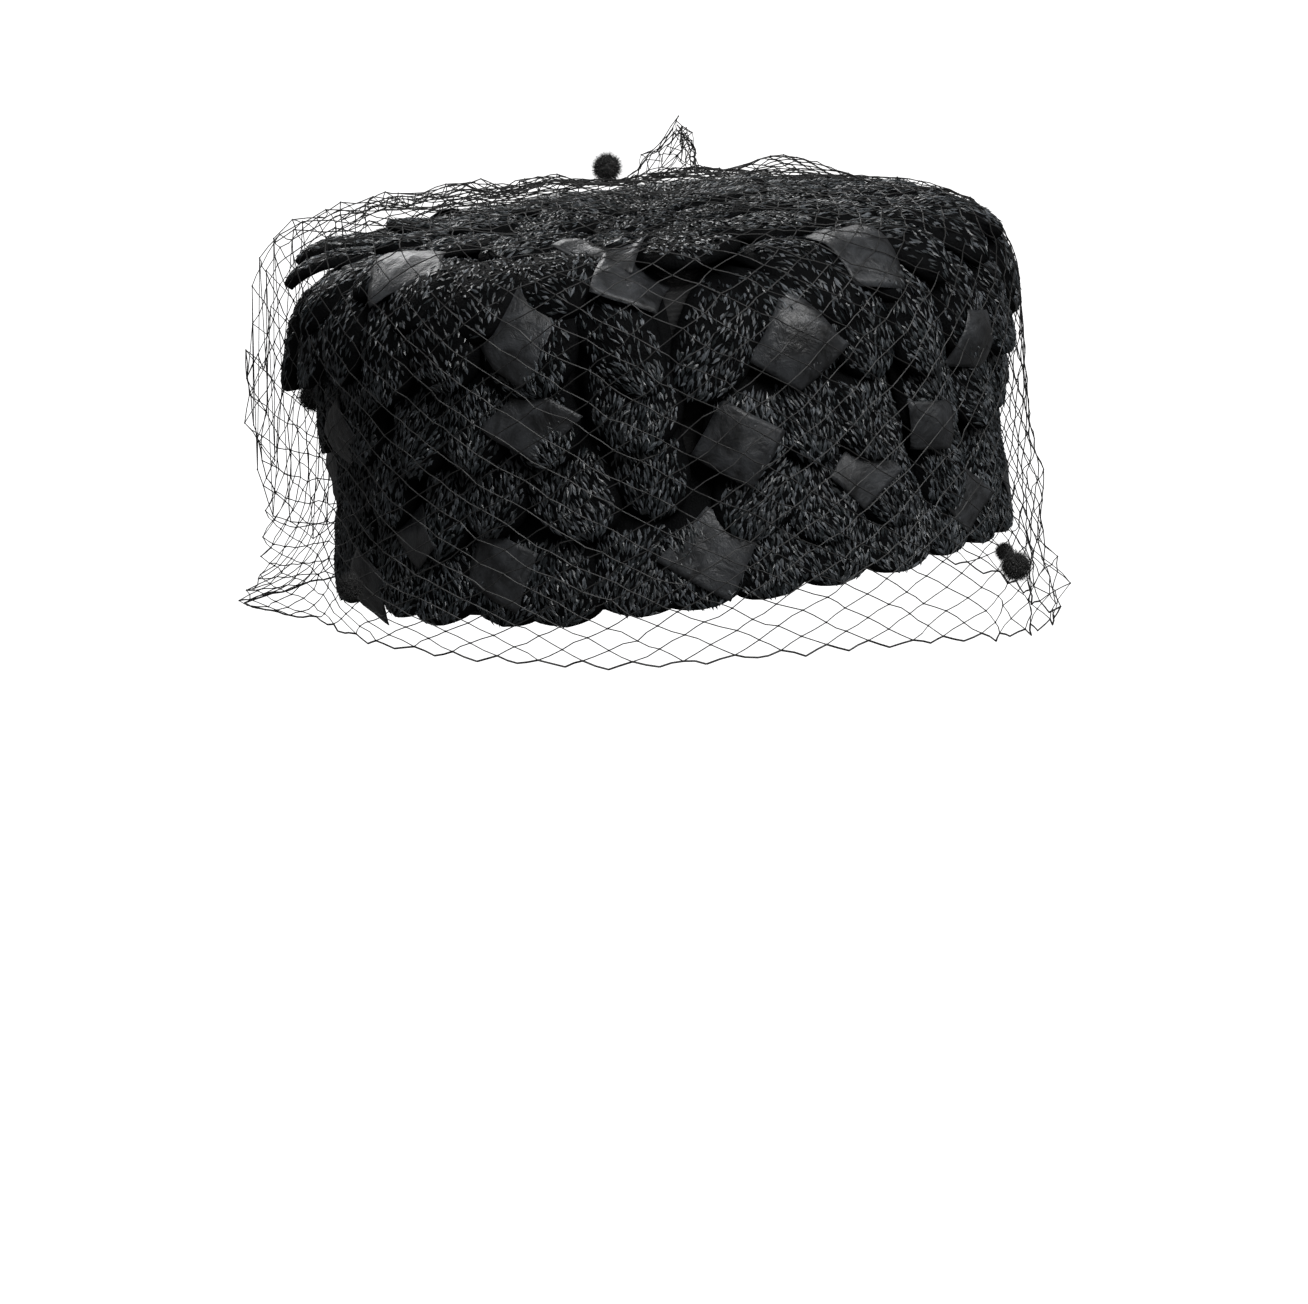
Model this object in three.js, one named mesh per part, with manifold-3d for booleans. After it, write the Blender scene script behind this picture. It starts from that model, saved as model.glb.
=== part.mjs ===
// A tall black pillbox hat. A round shell with a domed top carries rows of knitted straw
// petals, laid like shingles, with squares of shiny film tucked between them. A wide
// diamond net covers it all, hangs below the rim and carries fluffy round dots.
//
// Millimetres, +Z up, the front of the hat towards -Y. The origin is the centre of the
// head opening, in the plane of the rim. Azimuth 0 is the front and grows towards +X.
import * as THREE from "three";
import { mergeVertices } from "three/addons/utils/BufferGeometryUtils.js";
import Module from "manifold-3d";

const wasm = await Module();
wasm.setup();

// Crown
const sideRadius = 92; // outside of the wall at the top of the side
const sideFlare = 6.5; // how much narrower the wall is at its lower edge
const sideHeight = 72; // where the side ends and the shoulder starts
const shoulderDepth = 17; // how far in the shoulder reaches
const shoulderRise = 17; // how far up it reaches
const domeRise = 8; // from there up to the middle of the dome
const crownWall = 2;
const crownFacets = 24;
const frontRise = 6; // how much higher the lower edge is over the forehead

// Petals
const petalLength = 38;
const petalThickness = 1;
const petalSeat = 0.9; // from the crown to the underside of a petal's root
const petalSlope = 0.185; // how fast a petal stands off towards its tip
const petalSag = 0.5; // how far its long edges fall below its middle
const petalDroop = 1; // how far the lowest tips hang past the crown's edge
const petalsAround = 20;
const topOpening = 2.5; // where the roots of the topmost petals meet, from the middle

// Film squares
const squareSide = 19;
const squareThickness = 0.5;
const squareLift = 0.7; // from the petals below it to its underside
const pieceGap = 0.3; // between pieces that touch on the real hat

// Veil
const topColumns = 13; // strands that reach the middle of the top
const strandWidth = 4;
const strandThickness = 1.2;
const veilStandOff = 12.5; // from the top of the crown's side out to the net
const veilHem = 9; // how far the hem hangs below the rim
const veilDip = 17; // how much further it hangs at the left
const veilRise = 8; // how much less it hangs at the right rear
const veilShoulderRise = 3; // from the top of the crown up to where the net turns inwards
const veilTopRadius = 62; // ring of knots on the top
const veilCentreRadius = 29; // ring of knots round the middle of the top
const rightSwell = 11; // how far the net stands off over the right rear
const leftSwell = 4; // how far its lower part stands off over the left
const hemLow = 50; // azimuth at which the hem hangs lowest
const hemHigh = 235; // azimuth at which it hangs highest
const rightSwellAt = 232; // azimuths at which the net stands off most
const leftSwellAt = 42;

// Chenille dots
const dotRadius = 3.8;

const straw = new THREE.MeshStandardMaterial({ color: 0x14171a, roughness: 0.55, metalness: 0 });
const film = new THREE.MeshStandardMaterial({ color: 0x24272b, roughness: 0.25, metalness: 0 });
const net = new THREE.MeshStandardMaterial({ color: 0x0c0c0d, roughness: 0.6, metalness: 0 });
const chenille = new THREE.MeshStandardMaterial({ color: 0x060607, roughness: 1, metalness: 0 });
const buckram = new THREE.MeshStandardMaterial({ color: 0x0f0f10, roughness: 0.9, metalness: 0 });

const rad = THREE.MathUtils.degToRad;
const deg = THREE.MathUtils.radToDeg;
const hat = new THREE.Group();

// Solids

function solidFrom(points, faces) {
  const vertProperties = new Float32Array(points.flatMap((point) => point.toArray()));
  const triVerts = new Uint32Array(faces);
  return new wasm.Manifold(new wasm.Mesh({ numProp: 3, vertProperties, triVerts }));
}

function addPiece(name, solid, material) {
  const mesh = solid.getMesh();
  const geometry = new THREE.BufferGeometry();
  geometry.setAttribute("position", new THREE.BufferAttribute(mesh.vertProperties, 3));
  geometry.setIndex(new THREE.BufferAttribute(mesh.triVerts, 1));
  geometry.computeVertexNormals();
  const piece = new THREE.Mesh(geometry, material);
  piece.name = name;
  hat.add(piece);
  return piece;
}

function largestPiece(solid) {
  return solid.decompose().reduce((best, piece) => (piece.volume() > best.volume() ? piece : best));
}

// A thin plate between a grid of outer points and one of inner points. Rows run down the
// hat and columns with the azimuth.
function plate(outer, inner) {
  const rows = outer.length;
  const columns = outer[0].length;
  const under = rows * columns;
  const at = (row, column) => row * columns + column;
  const faces = [];
  const quad = (a, b, c, d) => faces.push(a, b, c, a, c, d);
  for (let row = 1; row < rows; row += 1) {
    for (let column = 1; column < columns; column += 1) {
      const a = at(row - 1, column - 1);
      const b = at(row, column - 1);
      const c = at(row, column);
      const d = at(row - 1, column);
      quad(a, b, c, d);
      quad(under + c, under + b, under + a, under + d);
    }
  }
  const border = [];
  for (let row = 0; row < rows - 1; row += 1) border.push(at(row, 0));
  for (let column = 0; column < columns - 1; column += 1) border.push(at(rows - 1, column));
  for (let row = rows - 1; row > 0; row -= 1) border.push(at(row, columns - 1));
  for (let column = columns - 1; column > 0; column -= 1) border.push(at(0, column));
  border.forEach((from, index) => {
    const to = border[(index + 1) % border.length];
    quad(from, under + from, under + to, to);
  });
  return solidFrom([...outer.flat(), ...inner.flat()], faces);
}

// The crown's outside, as a path from the top of the dome to the rim

const rimRadius = sideRadius - sideFlare;
const domeRadius = sideRadius - shoulderDepth;
const domeHeight = sideHeight + shoulderRise;
const crownHeight = domeHeight + domeRise;
const sideLean = sideFlare / sideHeight;
const domeEdge = new THREE.Vector2(domeRadius, domeHeight);
const domeControl = new THREE.Vector2(domeRadius * 0.55, crownHeight);

// Where the dome's last tangent meets the side's line, so that the shoulder is smooth.
function shoulderControl() {
  const along = domeEdge.clone().sub(domeControl);
  const reach = sideRadius + sideLean * (domeHeight - sideHeight) - domeRadius;
  const share = reach / (along.x - sideLean * along.y);
  return domeEdge.clone().addScaledVector(along, share);
}

const crownPath = new THREE.Path();
crownPath.moveTo(0, crownHeight);
crownPath.quadraticCurveTo(domeControl.x, domeControl.y, domeEdge.x, domeEdge.y);
crownPath.quadraticCurveTo(shoulderControl().x, shoulderControl().y, sideRadius, sideHeight);
crownPath.lineTo(rimRadius, 0);
const pathLength = crownPath.getLength();
const [domeLength, roundLength] = crownPath.getCurveLengths();
const shoulderDistance = (domeLength + roundLength) / 2;

// The lower edge rises over the forehead, and the rise fades out up the side.
function contour(azimuth, height) {
  const front = ((1 + Math.cos(rad(azimuth))) / 2) ** 2;
  return frontRise * front * Math.max(0, 1 - height / sideHeight);
}

// A point at a distance from the top along the path, standing off the crown.
function coverPoint(azimuth, distance, standOff) {
  const share = Math.min(distance / pathLength, 1);
  const point = crownPath.getPointAt(share);
  const tangent = crownPath.getTangentAt(share);
  point.addScaledVector(tangent, Math.max(0, distance - pathLength));
  const radius = point.x - tangent.y * standOff;
  const height = point.y + tangent.x * standOff;
  const angle = rad(azimuth);
  const lifted = height + contour(azimuth, point.y);
  return new THREE.Vector3(radius * Math.sin(angle), -radius * Math.cos(angle), lifted);
}

// How far along the path from the top it first reaches a radius.
function distanceAtRadius(radius) {
  let low = 0;
  let high = pathLength;
  for (let step = 0; step < 24; step += 1) {
    const middle = (low + high) / 2;
    if (crownPath.getPointAt(middle / pathLength).x > radius) high = middle;
    else low = middle;
  }
  return low;
}


function makeCrown() {
  const shares = [0.34, 0.7, 1].map((share) => share * domeLength);
  const round = [0.3, 0.65, 1].map((share) => domeLength + share * (roundLength - domeLength));
  const stops = [...shares, ...round, pathLength];
  const points = [coverPoint(0, 0, 0), coverPoint(0, 0, -crownWall)];
  const ringStart = (stop, layer) => 2 + (layer * stops.length + stop) * crownFacets;
  for (const standOff of [0, -crownWall]) {
    for (const stop of stops) {
      for (let facet = 0; facet < crownFacets; facet += 1) {
        points.push(coverPoint((facet * 360) / crownFacets, stop, standOff));
      }
    }
  }
  const faces = [];
  const last = stops.length - 1;
  for (let facet = 0; facet < crownFacets; facet += 1) {
    const next = (facet + 1) % crownFacets;
    for (let layer = 0; layer < 2; layer += 1) {
      const put = (a, b, c) => (layer ? faces.push(a, c, b) : faces.push(a, b, c));
      const at = (stop, side) => ringStart(stop, layer) + side;
      put(layer, at(0, facet), at(0, next));
      for (let stop = 0; stop < last; stop += 1) {
        put(at(stop, facet), at(stop + 1, facet), at(stop + 1, next));
        put(at(stop, facet), at(stop + 1, next), at(stop, next));
      }
    }
    const [outer, inner] = [ringStart(last, 0), ringStart(last, 1)];
    faces.push(outer + facet, inner + facet, inner + next);
    faces.push(outer + facet, inner + next, outer + next);
  }
  return solidFrom(points, faces);
}

// Petals. A row is one ring of tongues on a common root band. Each row is one layer of the
// cover, a cone-like surface that stands off evenly from its roots, so no row meets the next.

const petalRows = [
  { name: "petal_row_1", tip: 1, share: 1, first: 2, bands: 1 },
  { name: "petal_row_2", tip: 0.88, share: 1, first: 10, bands: 1 },
  { name: "petal_row_3", tip: 0.765, share: 1, first: 1, bands: 1 },
  { name: "petal_row_4", tip: 0.65, share: 1, first: 9, bands: 2 },
  { name: "petal_row_5", tip: 0.535, share: 1, first: 1, bands: 3 },
  { name: "petal_row_6", tip: 0.43, share: 0.86, first: 8, bands: 1 },
  { name: "petal_ring_1", tip: 0.32, share: 0.64, first: 4, bands: 1 },
  { name: "petal_ring_2", tip: 0.2, share: 0.36, first: 20, bands: 1 },
];

// Petals that hang lower or lean more than their neighbours: drop is a share of the
// petal's length, and lean is in degrees.
const oddPetals = [
  { row: "petal_row_2", azimuth: 339, drop: 0.13, lean: 0 },
  { row: "petal_row_3", azimuth: 311, drop: -0.08, lean: -4 },
  { row: "petal_row_4", azimuth: 290, drop: 0, lean: 14 },
  { row: "petal_row_4", azimuth: 308, drop: 0, lean: 14 },
  { row: "petal_row_5", azimuth: 278, drop: 0.08, lean: 16 },
  { row: "petal_row_5", azimuth: 295, drop: 0.1, lean: 16 },
  { row: "petal_row_5", azimuth: 325, drop: 0.24, lean: -18 },
  { row: "petal_row_5", azimuth: 344, drop: 0.05, lean: 6 },
];

const petalSplit = 0.5; // share of the length at which one petal parts from the next
const petalShape = [
  { along: 0.76, wide: 0.84, ridge: 0.76 },
  { along: 0.93, wide: 0.5, ridge: 1 },
];
// The row that crosses the shoulder has more lines, to follow it.
const shoulderShape = [
  { along: 0.63, wide: 0.95, ridge: 0.63 },
  { along: 0.76, wide: 0.84, ridge: 0.76 },
  { along: 0.86, wide: 0.7, ridge: 0.88 },
  { along: 0.93, wide: 0.5, ridge: 1 },
];
const petalSwing = 8; // how far the petals lean to and fro round the hat, in degrees

function tipDistance(row) {
  return row.tip * pathLength + (row.tip === 1 ? petalDroop : 0);
}

const layerStart = (row) => tipDistance(row) - petalLength;
const rowRoot = (row) => Math.max(topOpening, layerStart(row));

function layerStandOff(row, distance) {
  return petalSeat + petalSlope * Math.max(0, distance - layerStart(row));
}

function petalsOfRow(row) {
  const count = Math.round(petalsAround * row.share);
  return Array.from({ length: count }, (_, place) => {
    const azimuth = (row.first + (place * 360) / count) % 360;
    const phase = (2 * Math.PI * place) / count;
    const odd = oddPetals.find((entry) => {
      return entry.row === row.name && Math.abs(entry.azimuth - azimuth) < 180 / count;
    });
    const lean = petalSwing * Math.sin(3 * phase + 4 * row.tip);
    const drop = 0.03 * Math.sin(7 * phase + 9 * row.tip);
    return { azimuth, drop: petalLength * (odd ? odd.drop : drop), lean: odd ? odd.lean : lean };
  });
}

// grow makes the whole row larger on every side, for cutting what lies against it.
function makePetalRow(row, grow) {
  const petals = petalsOfRow(row);
  const root = rowRoot(row);
  const length = tipDistance(row) - root;
  const spacing = 360 / petals.length;
  const shape = row.name === "petal_row_5" ? shoulderShape : petalShape;
  const points = [];
  const faces = [];
  const quad = (a, b, c, d) => faces.push(a, b, c, a, c, d);
  const addPair = (azimuth, distance, sag) => {
    const under = layerStandOff(row, distance) - sag;
    points.push(coverPoint(azimuth, distance, under + petalThickness + grow));
    points.push(coverPoint(azimuth, distance, under - grow));
    return points.length - 2;
  };
  const skin = (a, b, c, d) => {
    quad(a, b, c, d);
    quad(c + 1, b + 1, a + 1, d + 1);
  };
  const wall = (from, to) => quad(from, from + 1, to + 1, to);

  const lines = [];
  for (let line = 0; line <= row.bands; line += 1) {
    const share = line / row.bands;
    const distance = root - grow * (line === 0) + share * petalSplit * length;
    lines.push(
      petals.flatMap((petal) => [
        addPair(petal.azimuth - spacing / 2, distance, petalSag * share),
        addPair(petal.azimuth, distance, 0),
      ]),
    );
  }
  const columns = petals.length * 2;
  for (let column = 0; column < columns; column += 1) {
    const next = (column + 1) % columns;
    wall(lines[0][next], lines[0][column]);
    for (let line = 1; line <= row.bands; line += 1) {
      const [above, below] = [lines[line - 1], lines[line]];
      skin(above[column], below[column], below[next], above[next]);
    }
  }
  petals.forEach((petal, index) => {
    const split = lines[row.bands];
    let above = [0, 1, 2].map((side) => split[(index * 2 + side) % columns]);
    for (const { along, wide, ridge } of shape) {
      const reach = (share) => root + share * (length + petal.drop) + (share > 0.9 ? grow : 0);
      const turn = (distance) => {
        const radius = Math.max(domeRadius / 4, crownPath.getPointAt(Math.min(1, distance / pathLength)).x);
        const onward = Math.max(0, distance - root - petalSplit * length);
        return petal.azimuth + deg((onward * Math.tan(rad(petal.lean))) / radius);
      };
      const half = (spacing / 2) * wide + deg(grow / sideRadius);
      const side = reach(along);
      const below = [
        addPair(turn(side) - half, side, petalSag),
        addPair(turn(reach(ridge)), reach(ridge), 0),
        addPair(turn(side) + half, side, petalSag),
      ];
      skin(above[0], below[0], below[1], above[1]);
      skin(above[1], below[1], below[2], above[2]);
      wall(above[0], below[0]);
      wall(below[2], above[2]);
      above = below;
    }
    wall(above[0], above[1]);
    wall(above[1], above[2]);
  });
  return solidFrom(points, faces);
}

// Film squares. Each lies on the petals that show at its place, and what would reach
// into the petals above it is cut away.

// down is the way from the top of the hat to the rim, as a share.
const nearSquares = [
  { azimuth: 267, down: 0.475, size: 1, turn: 44 },
  { azimuth: 294, down: 0.55, size: 1, turn: 40 },
  { azimuth: 295, down: 0.675, size: 1, turn: 36 },
  { azimuth: 307, down: 0.37, size: 1.1, turn: 18 },
  { azimuth: 312, down: 0.49, size: 1, turn: 12 },
  { azimuth: 336, down: 0.6, size: 1.05, turn: 40 },
  { azimuth: 352, down: 0.5, size: 1.05, turn: 8 },
  { azimuth: 326, down: 0.74, size: 1.05, turn: 37 },
  { azimuth: 321, down: 0.91, size: 1.1, turn: 40 },
  { azimuth: 286, down: 0.91, size: 1, turn: 30 },
  { azimuth: 347, down: 0.82, size: 0.9, turn: 52 },
  { azimuth: 11, down: 0.91, size: 0.9, turn: 45 },
  { azimuth: 1, down: 0.765, size: 0.85, turn: 8 },
  { azimuth: 13, down: 0.64, size: 1, turn: 10 },
  { azimuth: 253, down: 0.7, size: 0.9, turn: 42 },
  { azimuth: 253, down: 0.945, size: 0.95, turn: 35 },
  { azimuth: 270, down: 0.86, size: 0.8, turn: 48 },
];

const farSquares = 11;

// The squares of the far side are spread evenly, at four heights.
function farSquare(index) {
  const downs = [0.9, 0.64, 0.77, 0.48];
  return {
    azimuth: 34 + (index * 200) / (farSquares - 1),
    down: downs[index % downs.length],
    size: 1,
    turn: 45 + 12 * Math.sin(2.3 * index),
  };
}

function rowShowingAt(distance) {
  return petalRows.filter((row) => tipDistance(row) >= distance).pop();
}

function makeSquare({ azimuth, down, size, turn }) {
  const distance = down * pathLength;
  const row = rowShowingAt(distance) ?? petalRows[0];
  const radius = crownPath.getPointAt(distance / pathLength).x;
  const half = (squareSide * size) / 2;
  const onShoulder = Math.abs(distance - shoulderDistance) < squareSide;
  const stops = onShoulder ? [-1, -0.5, 0, 0.5, 1] : [-1, 0, 1];
  const grid = (standOff) =>
    stops.map((onward) =>
      stops.map((across) => {
        const corner = new THREE.Vector2(across * half, onward * half);
        corner.rotateAround(new THREE.Vector2(), rad(turn));
        const reach = distance + corner.y;
        const lift = layerStandOff(row, reach) + petalThickness + standOff;
        return coverPoint(azimuth + deg(corner.x / radius), reach, lift);
      }),
    );
  return plate(grid(squareLift + squareThickness), grid(squareLift));
}

// Veil. The net's knots lie on rings, each turned by half a column from the next, and
// every gap is a loop of knots, named as seen from outside and against the clock.

const veilRings = [
  { share: 0, normal: 0 },
  { share: 0.34, normal: 0 },
  { share: 0.67, normal: 0 },
  { share: 1, normal: 45 },
];

const towards = (azimuth, centre) => Math.max(0, Math.cos(rad(azimuth - centre))) ** 2;

function hemHeight(azimuth) {
  return veilRise * towards(azimuth, hemHigh) - veilHem - veilDip * towards(azimuth, hemLow);
}

function veilSideRadius(azimuth, share) {
  const right = rightSwell * towards(azimuth, rightSwellAt);
  const left = leftSwell * towards(azimuth, leftSwellAt) * (1 - share);
  return sideRadius + veilStandOff + right + left;
}

const meshColumns = 2 * topColumns; // strands that reach the hem
const columnStep = 360 / meshColumns;
const knots = [];

function addKnot(azimuth, radius, height, normal) {
  const angle = rad(azimuth);
  const tilt = rad(normal);
  const outward = new THREE.Vector3(Math.sin(angle), -Math.cos(angle), 0);
  knots.push({
    place: outward.clone().multiplyScalar(radius).setZ(height),
    normal: outward.clone().multiplyScalar(Math.cos(tilt)).setZ(Math.sin(tilt)),
    corners: [],
  });
  return knots.length - 1;
}

// On the top the net lies on the petals' tips.
function topKnot(azimuth, radius) {
  const distance = distanceAtRadius(radius);
  const petals = petalSeat + petalSlope * petalLength + petalThickness;
  const point = coverPoint(azimuth, distance, petals + 3 * pieceGap + strandThickness);
  return addKnot(azimuth, Math.hypot(point.x, point.y), point.z, 90);
}

const ringOf = (count, makeOne) => Array.from({ length: count }, (_, column) => makeOne(column));
const rings = veilRings.map(({ share, normal }, level) =>
  ringOf(meshColumns, (column) => {
    const azimuth = (column + (level % 2) / 2) * columnStep;
    const hem = hemHeight(azimuth);
    const height = hem + share * (crownHeight + veilShoulderRise - hem);
    return addKnot(azimuth, veilSideRadius(azimuth, share), height, normal);
  }),
);
rings.push(ringOf(meshColumns, (column) => topKnot(column * columnStep, veilTopRadius)));
const innerRing = ringOf(topColumns, (column) =>
  topKnot((2 * column + 0.5) * columnStep, veilCentreRadius),
);
const centre = topKnot(0, 0);

function makeVeil() {
  const around = (ring, column) => rings[ring][(column + meshColumns) % meshColumns];

  const gaps = [];
  for (let level = 1; level < veilRings.length; level += 1) {
    for (let column = 0; column < meshColumns; column += 1) {
      const right = level % 2 ? column : column + 1;
      gaps.push([
        around(level - 1, column),
        around(level, right),
        around(level + 1, column),
        around(level, right - 1),
      ]);
    }
  }
  const top = veilRings.length;
  for (let column = 0; column < topColumns; column += 1) {
    const next = (column + 1) % topColumns;
    gaps.push([
      around(top - 1, 2 * column),
      around(top, 2 * column + 1),
      innerRing[column],
      around(top, 2 * column),
    ]);
    gaps.push([
      around(top - 1, 2 * column + 1),
      around(top, 2 * column + 2),
      innerRing[next],
      centre,
      innerRing[column],
      around(top, 2 * column + 1),
    ]);
  }
  const hemLine = [];
  for (let column = meshColumns; column > 0; column -= 1) {
    hemLine.push(around(0, column), around(1, column - 1));
  }
  gaps.push(hemLine);
  return strands(gaps);
}

// The inner corner of a gap at a knot: half a strand's width in from both strands.
function gapCorner(from, at, to) {
  const { place, normal } = knots[at];
  const into = place.clone().sub(knots[from].place).projectOnPlane(normal).normalize();
  const onward = knots[to].place.clone().sub(place).projectOnPlane(normal).normalize();
  const inward = normal.clone().cross(into).add(normal.clone().cross(onward)).normalize();
  const mitre = Math.max(0.35, inward.dot(normal.clone().cross(into)));
  return place.clone().addScaledVector(inward, strandWidth / 2 / mitre);
}

// Flat strands round every gap, as one closed body.
function strands(gaps) {
  const points = [];
  const faces = [];
  const quad = (a, b, c, d) => faces.push(a, b, c, a, c, d);
  const sides = new Map();
  for (const loop of gaps) {
    const corners = loop.map((at, index) => {
      const from = loop[(index + loop.length - 1) % loop.length];
      const to = loop[(index + 1) % loop.length];
      const corner = gapCorner(from, at, to);
      const under = corner.clone().addScaledVector(knots[at].normal, -strandThickness);
      points.push(corner, under);
      knots[at].corners.push({ corner, index: points.length - 2 });
      return points.length - 2;
    });
    loop.forEach((at, index) => {
      const after = (index + 1) % loop.length;
      quad(corners[index], corners[after], corners[after] + 1, corners[index] + 1);
      sides.set(at + "-" + loop[after], [corners[index], corners[after]]);
    });
  }
  const patch = (loop) => {
    for (let index = 2; index < loop.length; index += 1) {
      faces.push(loop[0], loop[index - 1], loop[index]);
      faces.push(loop[0] + 1, loop[index] + 1, loop[index - 1] + 1);
    }
  };
  for (const [key, left] of sides) {
    const [from, to] = key.split("-").map(Number);
    if (from > to) continue;
    const right = sides.get(to + "-" + from);
    patch([right[1], right[0], left[1], left[0]]);
  }
  for (const knot of knots) {
    const across = knot.corners[0].corner.clone().sub(knot.place).normalize();
    const upward = knot.normal.clone().cross(across);
    const turn = ({ corner }) => {
      const arm = corner.clone().sub(knot.place);
      return Math.atan2(arm.dot(upward), arm.dot(across));
    };
    const ordered = knot.corners.toSorted((a, b) => turn(a) - turn(b));
    patch(ordered.map(({ index }) => index));
  }
  return solidFrom(points, faces);
}

// Chenille dots, each on the outside of a strand of the net, a share of the way along it.
// The strand starts at the knot next to the azimuth, on a ring counted from the hem, and
// leans on to the next ring, towards higher or lower azimuths.
const dots = [
  { azimuth: 14, ring: 0, lean: -1, along: 0.5 },
  { azimuth: 69, ring: 0, lean: 1, along: 0.2 },
  { azimuth: 263, ring: 0, lean: 1, along: 0.5 },
  { azimuth: 120, ring: 1, lean: 1, along: 0.6 },
  { azimuth: 182, ring: 2, lean: 1, along: 0.2 },
  { azimuth: 150, ring: 0, lean: 1, along: 0.5 },
  { azimuth: 205, ring: 1, lean: -1, along: 0.5 },
];

function makeDot(from, to, along) {
  const place = from.place.clone().lerp(to.place, along);
  const normal = from.normal.clone().lerp(to.normal, along);
  const strand = to.place.clone().sub(from.place).normalize();
  normal.addScaledVector(strand, -normal.dot(strand)).normalize();
  place.addScaledVector(normal, dotRadius + pieceGap);
  const sphere = new THREE.SphereGeometry(dotRadius, 8, 5).toNonIndexed();
  sphere.deleteAttribute("normal");
  sphere.deleteAttribute("uv");
  const ball = mergeVertices(sphere.translate(...place.toArray()), 0.001);
  const vertProperties = new Float32Array(ball.attributes.position.array);
  const triVerts = new Uint32Array(ball.index.array);
  return new wasm.Manifold(new wasm.Mesh({ numProp: 3, vertProperties, triVerts }));
}

addPiece("crown", makeCrown(), buckram);
petalRows.forEach((row) => addPiece(row.name, makePetalRow(row, 0), straw));

const grownRows = petalRows.map((row) => makePetalRow(row, pieceGap));
const squares = [...nearSquares, ...Array.from({ length: farSquares }, (_, index) => farSquare(index))];
squares.forEach((square, index) => {
  const cut = grownRows.reduce((solid, row) => solid.subtract(row), makeSquare(square));
  addPiece("film_square_" + (index + 1), largestPiece(cut), film);
});

addPiece("veil", makeVeil(), net);
dots.forEach(({ azimuth, ring, lean, along }, index) => {
  const turned = (ring % 2) / 2;
  const column = Math.round(azimuth / columnStep - turned) % meshColumns;
  const next = column + (lean > 0 ? 0 : -1) + (ring % 2);
  const from = knots[rings[ring][column]];
  const to = knots[rings[ring + 1][(next + meshColumns) % meshColumns]];
  addPiece("chenille_dot_" + (index + 1), makeDot(from, to, along), chenille);
});
const topDot = makeDot(knots[centre], knots[innerRing[Math.floor(topColumns / 2)]], 0.5);
addPiece("chenille_dot_" + (dots.length + 1), topDot, chenille);

export default hat;
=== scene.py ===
# Dresses the pillbox hat: knitted straw petals, shiny film squares, a fine net veil and
# fluffy dots, on a white studio set. Lengths here are metres, angles degrees, and azimuth 0
# is the hat's front, growing towards the wearer's left.
import math

import bpy
import numpy as np
from mathutils import Matrix, Vector


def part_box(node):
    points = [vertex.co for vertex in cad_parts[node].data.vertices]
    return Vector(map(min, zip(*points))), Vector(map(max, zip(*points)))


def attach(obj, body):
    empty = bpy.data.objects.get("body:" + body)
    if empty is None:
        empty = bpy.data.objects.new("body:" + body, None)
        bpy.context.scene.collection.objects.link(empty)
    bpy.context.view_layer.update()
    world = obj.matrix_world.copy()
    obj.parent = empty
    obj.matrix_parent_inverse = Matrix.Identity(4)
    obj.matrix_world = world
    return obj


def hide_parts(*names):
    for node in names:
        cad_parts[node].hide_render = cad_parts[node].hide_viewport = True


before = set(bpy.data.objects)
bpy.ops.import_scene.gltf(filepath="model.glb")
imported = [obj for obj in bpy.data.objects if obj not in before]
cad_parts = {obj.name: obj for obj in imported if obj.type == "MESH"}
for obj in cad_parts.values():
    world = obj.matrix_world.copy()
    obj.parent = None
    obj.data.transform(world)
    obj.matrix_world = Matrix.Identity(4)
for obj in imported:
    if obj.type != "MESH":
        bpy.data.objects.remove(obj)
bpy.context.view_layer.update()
print("frame loaded, nodes:", len(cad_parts))

mm = 0.001


# Meshes and materials

def newPiece(name, points, faces, materials, smooth=True, faceMaterials=None):
    mesh = bpy.data.meshes.new(name)
    points = np.asarray(points, dtype=np.float32).reshape(-1, 3)
    faces = [np.asarray(group, dtype=np.int32) for group in faces]
    corners = np.concatenate([group.ravel() for group in faces])
    sizes = np.concatenate([np.full(len(group), group.shape[1], np.int32) for group in faces])
    starts = np.concatenate([[0], np.cumsum(sizes)[:-1]]).astype(np.int32)
    mesh.vertices.add(len(points))
    mesh.vertices.foreach_set("co", points.ravel())
    mesh.loops.add(len(corners))
    mesh.loops.foreach_set("vertex_index", corners)
    mesh.polygons.add(len(sizes))
    mesh.polygons.foreach_set("loop_start", starts)
    for material in materials:
        mesh.materials.append(material)
    if faceMaterials is not None:
        mesh.polygons.foreach_set("material_index", np.asarray(faceMaterials, dtype=np.int32))
        mesh.polygons.foreach_set("use_smooth", np.asarray(faceMaterials) == 0)
    else:
        mesh.polygons.foreach_set("use_smooth", np.full(len(sizes), smooth))
    mesh.update(calc_edges=True)
    piece = bpy.data.objects.new(name, mesh)
    bpy.context.scene.collection.objects.link(piece)
    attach(piece, "root")
    return piece


class Value:
    # One socket of a material, with + and * as Math nodes.
    def __init__(self, finish, socket):
        self.finish = finish
        self.socket = socket

    def maths(self, operation, first, second):
        return self.finish.node("ShaderNodeMath", {"operation": operation}, {0: first, 1: second})

    def __add__(self, other):
        return self.maths("ADD", self, other)

    def __radd__(self, other):
        return self.maths("ADD", other, self)

    def __mul__(self, other):
        return self.maths("MULTIPLY", self, other)

    def __rmul__(self, other):
        return self.maths("MULTIPLY", other, self)


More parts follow.
